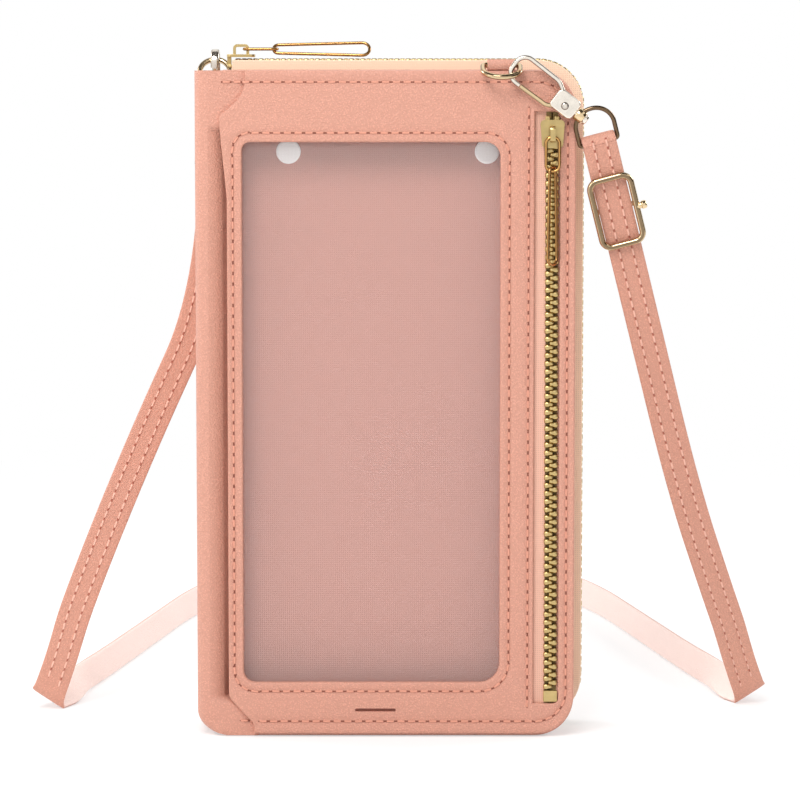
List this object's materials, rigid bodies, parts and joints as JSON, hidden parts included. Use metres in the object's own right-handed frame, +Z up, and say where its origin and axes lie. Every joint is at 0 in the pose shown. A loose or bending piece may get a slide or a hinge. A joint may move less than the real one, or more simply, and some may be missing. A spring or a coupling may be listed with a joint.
{
  "type": "phone pouch",
  "caption": "Upright zip-around phone pouch of pebbled leather with a clear window pocket, a zipped coin pocket, snap hooks and a flat shoulder strap",
  "frame": {"origin": "middle of the base, on the floor that the pouch stands on", "axes": "+Z up, the window faces -Y, the spine is at -X"},
  "size_m": [0.2183, 0.3185, 0.1983],
  "materials": {
    "leather": "pebbled, soft sheen",
    "strap_leather": "smooth, soft sheen",
    "film": "clear, glossy",
    "lining": "woven",
    "pad": "felted",
    "board": "plain",
    "tape": "woven",
    "zip_brass": "polished",
    "hardware_gold": "polished, pale gold",
    "hook_silver": "polished"
  },
  "bodies": {
    "pouch": {"front_panel": "leather", "spine": "leather", "window_frame": "leather", "window_film": "film", "pocket_wall": "lining", "pocket_pads": "pad", "edge_strip": "leather", "front_lining": "lining", "main_tape_front": "tape", "main_teeth_front": "zip_brass", "coin_tape_left": "tape", "coin_tape_right": "tape", "coin_teeth_left": "zip_brass", "coin_teeth_right": "zip_brass", "coin_top_stops": "zip_brass", "coin_bottom_stop": "zip_brass", "tab_right": "leather", "tab_left": "leather", "strap": "strap_leather", "strap_return_right": "strap_leather", "strap_return_left": "strap_leather", "eye_right": "hardware_gold", "eye_left": "hardware_gold"},
    "back_cover": {"back_panel": "leather", "back_board": "board", "back_lining": "lining", "card_pocket_1": "lining", "card_pocket_2": "lining", "card_pocket_3": "lining", "main_tape_back": "tape", "main_teeth_back": "zip_brass"},
    "main_slider": {"main_slider": "zip_brass"},
    "main_link": {"main_link": "hardware_gold"},
    "main_loop": {"main_loop": "hardware_gold"},
    "coin_slider": {"coin_slider": "zip_brass"},
    "coin_link": {"coin_link": "hardware_gold"},
    "coin_loop": {"coin_loop": "hardware_gold"},
    "d_ring_right": {"d_ring_right": "hardware_gold"},
    "d_ring_left": {"d_ring_left": "hardware_gold"},
    "hook_right": {"hook_right": "hook_silver", "gate_pin_right": "hook_silver"},
    "gate_right": {"gate_right": "hook_silver"},
    "hook_left": {"hook_left": "hook_silver", "gate_pin_left": "hook_silver"},
    "gate_left": {"gate_left": "hook_silver"},
    "buckle": {"buckle_frame": "hardware_gold", "buckle_bar": "hardware_gold"}
  },
  "joints": [
    {"name": "cover_hinge", "type": "hinge", "parent": "pouch", "child": "back_cover", "pos_m": [-0.0462, 0.0148, 0], "axis": [0, 0, 1], "range_deg": [0, 75]},
    {"name": "main_slide", "type": "slide", "parent": "pouch", "child": "main_slider", "axis": [1, 0, 0], "range_m": [0, 0.078], "deforming": ["main_teeth_front", "main_teeth_back"]},
    {"name": "main_link_swing", "type": "hinge", "parent": "main_slider", "child": "main_link", "pos_m": [-0.0421, 0.007, 0.1961], "axis": [0, -1, 0], "range_deg": [0, 110]},
    {"name": "main_loop_swing", "type": "hinge", "parent": "main_link", "child": "main_loop", "pos_m": [-0.0326, 0.007, 0.1961], "axis": [0, -1, 0], "range_deg": [0, 23]},
    {"name": "coin_slide", "type": "slide", "parent": "pouch", "child": "coin_slider", "axis": [0, 0, -1], "range_m": [0, 0.13], "deforming": ["coin_teeth_left", "coin_teeth_right"]},
    {"name": "coin_link_swing", "type": "hinge", "parent": "coin_slider", "child": "coin_link", "pos_m": [0.0456, -0.016, 0.1713], "axis": [-1, 0, 0], "range_deg": [0, 110]},
    {"name": "coin_loop_swing", "type": "hinge", "parent": "coin_link", "child": "coin_loop", "pos_m": [0.0456, -0.016, 0.1618], "axis": [-1, 0, 0], "range_deg": [0, 35]},
    {"name": "d_ring_right_swing", "type": "hinge", "parent": "pouch", "child": "d_ring_right", "pos_m": [0.03115, -0.0119, 0.1916], "axis": [1, 0, 0], "range_deg": [0, 4]},
    {"name": "d_ring_left_swing", "type": "hinge", "parent": "pouch", "child": "d_ring_left", "pos_m": [-0.0512, 0.0164, 0.186], "axis": [-1, 0, 0], "range_deg": [0, 10]},
    {"name": "hook_right_swivel", "type": "hinge", "parent": "pouch", "child": "hook_right", "pos_m": [0.03428, -0.0159, 0.19228], "axis": [0.788, 0, -0.6157], "range_deg": [-1, 5]},
    {"name": "gate_right_pivot", "type": "hinge", "parent": "hook_right", "child": "gate_right", "pos_m": [0.04888, -0.0159, 0.18011], "axis": [0, 1, 0], "range_deg": [0, 18], "stiffness_Nm_per_rad": 0.002, "springref_deg": -11.46},
    {"name": "hook_left_swivel", "type": "hinge", "parent": "pouch", "child": "hook_left", "pos_m": [-0.0512, 0.02293, 0.19615], "axis": [0, 0, 1], "range_deg": [-8, 8]},
    {"name": "gate_left_pivot", "type": "hinge", "parent": "hook_left", "child": "gate_left", "pos_m": [-0.0512, 0.02233, 0.17714], "axis": [-1, 0, 0], "range_deg": [0, 18], "stiffness_Nm_per_rad": 0.002, "springref_deg": -11.46},
    {"name": "buckle_slide", "type": "slide", "parent": "pouch", "child": "buckle", "axis": [0.2451, 0.2481, -0.9372], "range_m": [0, 0.045]}
  ]
}
